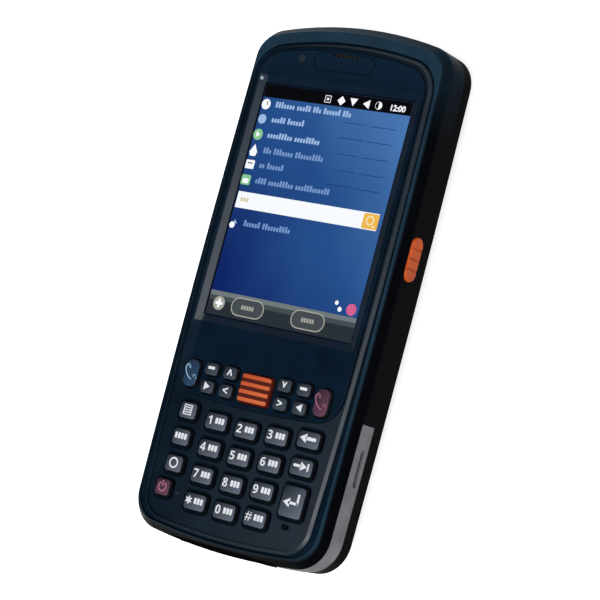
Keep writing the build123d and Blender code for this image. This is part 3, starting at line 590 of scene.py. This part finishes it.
def arrow_marks(name, x, y, z):
    """Arrows of the enter, back and tab keys, and the bars of the others."""
    if name == "key_enter":
        return [rounded_bar(x + 0.5 * mm, y - 0.6 * mm, 3.4 * mm, stroke, z),
                rounded_bar(x + 2.0 * mm, y + 0.7 * mm, stroke, 3.1 * mm, z),
                glyph("◀", 3.0 * mm, x - 1.8 * mm, y - 0.6 * mm, z)]
    if name == "key_back":
        return [rounded_bar(x + 0.9 * mm, y, 3.6 * mm, 1.0 * mm, z),
                glyph("◀", 3.0 * mm, x - 1.8 * mm, y, z)]
    if name == "key_tab":
        return [rounded_bar(x - 1.3 * mm, y, 2.8 * mm, 0.8 * mm, z),
                rounded_bar(x + 2.4 * mm, y, 0.6 * mm, 2.2 * mm, z),
                glyph("▶", 2.8 * mm, x + 0.9 * mm, y, z)]
    if name == "key_mode":
        return [rounded_bar(x + place, y, letter_width, letter_height, z) for place in word_places]
    return [rounded_bar(x, y, 2.5 * mm, 0.85 * mm, z)]


for name in nodes:
    if not name.startswith("key_") or name == "key_select":
        continue
    low, high = (Vector(corner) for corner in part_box(name))
    x, y, z = (low.x + high.x) / 2, (low.y + high.y) / 2, high.z
    if name in signs:
        characters, size = signs[name]
        side = digit_place if name in second_use else 0
        weight = 0 if name in second_use else sign_weight
        marks = [glyph(characters, size * mm, x + side, y + sign_lift, z, weight=weight)]
    else:
        marks = arrow_marks(name, x, y + letter_lift, z)
    if name in second_use:
        for place in letter_places:
            marks.append(rounded_bar(x + place, y + letter_lift, letter_width, letter_height, z))
    colour = own_ink.get(name, white_ink)
    joined(name.replace("key_", "legend_"), marks, colour, name)


# Display: the touch panel is a thin glossy sheet, held under the bezel's edge, and shows the lit
# picture of the display below it. The picture is dark at the lower left and lighter at the upper
# right, with a black border round it.
half_width = 53.28 * mm / 2
half_height = 71.04 * mm / 2
screen_y = display_middle.y
screen_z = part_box("touch_panel")[1][2]
least_brightness = 0.27
towards_right = 0.24
towards_head = 0.25
towards_clouds = 0.35


def lit(name, colour, glow=0.85):
    """One lit colour of the picture, seen through the panel's glossy film."""
    material = bpy.data.materials.new(name)
    material.use_nodes = True
    tree = material.node_tree
    shader = tree.nodes["Principled BSDF"]
    shader.inputs["Base Color"].default_value = [0.1 * c for c in colour] + [1]
    shader.inputs["Roughness"].default_value = 0.2
    shader.inputs["Specular IOR Level"].default_value = 0.02
    shader.inputs["Emission Strength"].default_value = glow
    spot = tree.nodes.new("ShaderNodeTexCoord")
    cells = tree.nodes.new("ShaderNodeTexNoise")
    cells.inputs["Scale"].default_value = 900
    tree.links.new(spot.outputs["Object"], cells.inputs["Vector"])
    ramp = tree.nodes.new("ShaderNodeValToRGB")
    ramp.color_ramp.elements[0].position = 0.2
    ramp.color_ramp.elements[0].color = [0.97 * c for c in colour] + [1]
    ramp.color_ramp.elements[1].position = 0.6
    ramp.color_ramp.elements[1].color = (*colour, 1)
    tree.links.new(cells.outputs["Fac"], ramp.inputs["Fac"])
    tree.links.new(ramp.outputs["Color"], shader.inputs["Emission Color"])
    return material


picture = lit("picture_blue", (0.1, 0.2, 0.5))
tree = picture.node_tree
shader = tree.nodes["Principled BSDF"]
shader.inputs["Base Color"].default_value = (0.002, 0.004, 0.01, 1)
spot = tree.nodes["Texture Coordinate"]
centre = tree.nodes.new("ShaderNodeMapping")
centre.inputs["Location"].default_value = (0, -screen_y / half_height, 0)
centre.inputs["Scale"].default_value = (1 / half_width, 1 / half_height, 1)
tree.links.new(spot.outputs["Object"], centre.inputs["Vector"])
axes = tree.nodes.new("ShaderNodeSeparateXYZ")
tree.links.new(centre.outputs["Vector"], axes.inputs["Vector"])
cloud = tree.nodes.new("ShaderNodeTexNoise")
cloud.inputs["Scale"].default_value = 1.1
cloud.inputs["Detail"].default_value = 1
tree.links.new(centre.outputs["Vector"], cloud.inputs["Vector"])


def sum_of(first, factor, second):
    """first * factor + second, as a node's output."""
    node = tree.nodes.new("ShaderNodeMath")
    node.operation = "MULTIPLY_ADD"
    tree.links.new(first, node.inputs[0])
    node.inputs[1].default_value = factor
    if isinstance(second, float):
        node.inputs[2].default_value = second
    else:
        tree.links.new(second, node.inputs[2])
    return node.outputs["Value"]


brightness = sum_of(axes.outputs["X"], towards_right, least_brightness)
brightness = sum_of(axes.outputs["Y"], towards_head, brightness)
brightness = sum_of(cloud.outputs["Fac"], towards_clouds, brightness)
ramp = tree.nodes["Color Ramp"]
ramp.color_ramp.elements[0].position = 0.05
ramp.color_ramp.elements[0].color = (0.002, 0.016, 0.14, 1)
ramp.color_ramp.elements[1].position = 1.0
ramp.color_ramp.elements[1].color = (0.085, 0.235, 0.55, 1)
midway = ramp.color_ramp.elements.new(0.5)
midway.color = (0.018, 0.085, 0.29, 1)
tree.links.new(brightness, ramp.inputs["Fac"])
inside = []
for output in ("X", "Y"):
    size = tree.nodes.new("ShaderNodeMath")
    size.operation = "ABSOLUTE"
    tree.links.new(axes.outputs[output], size.inputs[0])
    within = tree.nodes.new("ShaderNodeMath")
    within.operation = "LESS_THAN"
    within.inputs[1].default_value = 1.0
    tree.links.new(size.outputs["Value"], within.inputs[0])
    inside.append(within.outputs["Value"])
dimmed = tree.nodes.new("ShaderNodeMix")
dimmed.data_type = "RGBA"
dimmed.inputs["A"].default_value = (0, 0, 0, 1)
tree.links.new(combined(picture, "MULTIPLY", *inside), dimmed.inputs["Factor"])
tree.links.new(ramp.outputs["Color"], dimmed.inputs["B"])
tree.links.new(dimmed.outputs["Result"], shader.inputs["Emission Color"])
finish(picture, "touch_panel")

# Start screen on the display: a black status bar, seven list rows with an icon and a line of
# words each, a white entry bar above the last row, and a grey bar with two soft keys at the foot.
# Words are plain bars, and every part is a thin flat piece laid on the touch panel.
layer = 0.02 * mm
screen_white = lit("screen_white", (0.9, 0.92, 0.95), 0.95)
screen_pale = lit("screen_pale", (0.36, 0.52, 0.82))
screen_dim = lit("screen_dim", (0.19, 0.32, 0.62))
screen_green = lit("screen_green", (0.25, 0.6, 0.3))
screen_amber = lit("screen_amber", (0.9, 0.5, 0.08))
screen_pink = lit("screen_pink", (0.7, 0.12, 0.3))
screen_black = lit("screen_black", (0.002, 0.002, 0.004), 0.5)
screen_line = lit("screen_line", (0.012, 0.04, 0.2))
screen_grey = lit("screen_grey", (0.17, 0.2, 0.21))
screen_steel = lit("screen_steel", (0.022, 0.03, 0.038))
screen_slate = lit("screen_slate", (0.06, 0.075, 0.085))
screen_stone = lit("screen_stone", (0.4, 0.4, 0.35))
screen_straw = lit("screen_straw", (0.7, 0.68, 0.4))
screen_cream = lit("screen_cream", (0.95, 0.8, 0.45))


def patch(x, y, width, height, level=0, corner=None):
    """Lit bar, its place in millimetres from the display's middle."""
    return rounded_bar(x * mm, screen_y + y * mm, width * mm, height * mm, screen_z + level * layer,
                       layer, None if corner is None else corner * mm)


def icon(characters, size, x, y, level=0, weight=0.0):
    """Lit sign, its place in millimetres from the display's middle."""
    return glyph(characters, size * mm, x * mm, screen_y + y * mm, screen_z + level * layer,
                 layer, weight * mm)


def lit_piece(name, parts, material):
    """Lit parts as one piece of the picture, which belongs to the housing."""
    joined(name, parts, material, "housing")


picture_width = 53.2
lit_piece("status_bar", [patch(0, 33.5, picture_width, 4.0, corner=0.05)], screen_black)
status_signs = [("▣", -3.2), ("◆", 1.7), ("▼", 6.0), ("◀", 10.6), ("◑", 15.0)]
clock = icon("12:00", 2.5, 21.9, 33.2, 1, weight=0.08)
small_signs = [icon(sign, 3.0, x, 33.3, 1) for sign, x in status_signs]
lit_piece("status_signs", small_signs + [clock], screen_white)

row_y = [29.3, 24.7, 19.9, 15.1, 10.6, 5.8]
last_row_y = -7.4
words_x = -21.0
letter_pitch = 1.04
word_gap = 0.75
low_letter = 1.25
letter_heights = (1.9, low_letter, low_letter, 1.8, low_letter, low_letter, 1.9)


def line_of_words(y, lengths):
    """Words in one row, each a run of small bars as high as letters."""
    bars = []
    x = words_x
    for length in lengths:
        for place in range(length):
            height = letter_heights[(place * 3 + length) % len(letter_heights)]
            bars.append(patch(x, y + (height - low_letter) / 2, 0.74, height))
            x += letter_pitch
        x += word_gap
    return bars


bright_rows = {row_y[0]: (7, 5, 3, 6, 3), row_y[1]: (5, 6), row_y[2]: (9, 9)}
dim_rows = {row_y[3]: (3, 7, 10), row_y[4]: (2, 6), row_y[5]: (4, 9, 12), last_row_y: (6, 10)}
word_rows = {"words_bright": (screen_pale, bright_rows), "words_dim": (screen_dim, dim_rows)}
for name, (colour, rows) in word_rows.items():
    letters = [bar for y, lengths in rows.items() for bar in line_of_words(y, lengths)]
    lit_piece(name, letters, colour)
row_lines = []
for y in row_y[:5]:
    row_lines.append(patch(8.5, y - 2.3, 8.5, 0.2))
    row_lines.append(patch(18.5, y - 2.4, 9.0, 0.2))
lit_piece("row_lines", row_lines, screen_line)
icon_x = -25.0
white_icons = [icon("●", 4.3, icon_x, row_y[0]), icon("▲", 3.4, icon_x, row_y[3] + 0.5),
               patch(icon_x, row_y[3] - 1.1, 2.4, 1.6), patch(icon_x, row_y[4], 3.2, 2.7, corner=0.3),
               icon("●", 2.6, icon_x - 0.6, -8.2)]
lit_piece("icons_white", white_icons, screen_white)
pale_icons = [icon("●", 3.9, icon_x, row_y[1]), icon("◣", 2.0, icon_x + 0.5, -7.0, 1)]
lit_piece("icons_pale", pale_icons, screen_pale)
green_icons = [icon("●", 4.6, icon_x, row_y[2]), patch(icon_x, row_y[5], 3.4, 3.1, corner=0.5)]
lit_piece("icons_green", green_icons, screen_green)
icon_centres = [icon("▶", 2.0, icon_x + 0.1, row_y[2], 1), patch(icon_x, row_y[5] - 0.3, 2.2, 1.5, 1)]
lit_piece("icon_centres", icon_centres, screen_white)
icon_shades = [patch(icon_x, row_y[4] + 0.4, 1.8, 0.35, 1),
               patch(icon_x + 0.4, row_y[0] + 0.4, 0.3, 1.3, 1)]
lit_piece("icon_shades", icon_shades, screen_steel)

# The entry bar has a hint at its left end and a button at its right one. The notice below it is a
# disc with two dots beside it.
entry_y = -0.35
lit_piece("entry_bar", [patch(-0.6, entry_y, 51.6, 5.0, corner=0.2)], screen_white)
lit_piece("entry_hint", [patch(x, -0.2, 0.8, 1.3, 1) for x in (-24.6, -23.5, -22.4)], screen_straw)
lit_piece("entry_button", [patch(22.6, entry_y, 5.4, 4.5, 1, corner=0.4)], screen_amber)
entry_sign = [icon("○", 3.6, 22.4, -0.1, 2, weight=0.1), icon("◣", 1.6, 24.0, -1.6, 2)]
lit_piece("entry_sign", entry_sign, screen_cream)
lit_piece("notice", [icon("●", 4.6, 24.0, -26.2)], screen_pink)
lit_piece("notice_dots", [icon("●", 1.7, 18.5, -25.0), icon("●", 1.9, 20.0, -26.7)], screen_white)

# The grey bar is shaded by two thinner bars over it. Each soft key is a pale rim with a darker
# face over it, and the start sign is a disc with a cross.
bar_y = -31.9
soft_key_y = -31.8
soft_key_x = [-11.9, 10.2]
soft_letter_places = (-1.9, -0.95, 0, 0.95, 1.9)
start_x = -22.6
lit_piece("soft_key_bar", [patch(0, bar_y, picture_width, 7.2, corner=0.05)], screen_steel)
lit_piece("soft_key_shine", [patch(0, -29.0, picture_width, 1.4, 1, corner=0.05)], screen_grey)
lit_piece("soft_key_glow", [patch(0, -30.4, picture_width, 1.4, 1, corner=0.05)], screen_slate)
rims = [patch(x, soft_key_y, 12.2, 5.6, 2, corner=2.7) for x in soft_key_x]
lit_piece("soft_key_rims", rims, screen_stone)
faces = [patch(x, soft_key_y, 11.5, 4.9, 3, corner=2.4) for x in soft_key_x]
lit_piece("soft_keys", faces, screen_slate)
letters = [patch(x + place, soft_key_y, 0.7, 1.3, 4)
           for x in soft_key_x for place in soft_letter_places]
lit_piece("soft_key_words", letters, screen_stone)
lit_piece("start_sign", [icon("●", 5.6, start_x, bar_y, 2)], screen_stone)
lit_piece("start_sign_spokes", [icon("✚", 3.6, start_x, bar_y, 3)], screen_white)

# Docking contacts: eighteen gold-plated strips of sheet metal, pressed into the slots of the
# docking connector, where a cradle's pins touch them.
contact_pitch = 1.6 * mm
contact_count = 18
contact_y = -78.62 * mm
contact_z = 19.2 * mm
contact_size = (0.7 * mm, 0.5 * mm, 2.4 * mm)


def block(x, y, z, width, depth, height):
    """Plain closed block, centred at x, y, z."""
    bpy.ops.object.select_all(action="DESELECT")
    bpy.ops.mesh.primitive_cube_add(size=1, location=(x, y, z), scale=(width, depth, height))
    bpy.ops.object.transform_apply(location=True, rotation=True, scale=True)
    return bpy.context.object


first_x = -(contact_count - 1) / 2 * contact_pitch
strips = [block(first_x + place * contact_pitch, contact_y, contact_z, *contact_size)
          for place in range(contact_count)]
joined("dock_contacts", strips, contact_gold, "housing")

# Camera on the back: a flattened metal ring let into the face of the black module, and a small
# coated lens at the bottom of the module's hole.
camera_y = 46.0 * mm
ring_radius = 2.9 * mm
ring_bead = 0.6 * mm
ring_z = 0.42 * mm
ring_flatness = 0.35
lens_radius = 1.9 * mm
lens_z = 1.28 * mm
lens_flatness = 0.3
bpy.ops.object.select_all(action="DESELECT")
bpy.ops.mesh.primitive_torus_add(major_radius=ring_radius, minor_radius=ring_bead, major_segments=48,
                                 minor_segments=16, location=(0, camera_y, ring_z))
bpy.ops.transform.resize(value=(1, 1, ring_flatness))
bpy.ops.object.transform_apply(location=True, rotation=True, scale=True)
lens_ring = bpy.context.object
ring_metal = metal("ring_metal", (0.3, 0.3, 0.32), 0.35)
joined("lens_ring", [lens_ring], ring_metal, "housing")
bpy.ops.object.select_all(action="DESELECT")
bpy.ops.mesh.primitive_uv_sphere_add(segments=32, ring_count=16, radius=lens_radius,
                                     location=(0, camera_y, lens_z), scale=(1, 1, lens_flatness))
bpy.ops.object.transform_apply(location=True, rotation=True, scale=True)
camera_lens = bpy.context.object
coated_lens = smoked("coated_lens", (0.012, 0.008, 0.03))
joined("camera_lens", [camera_lens], coated_lens, "housing")
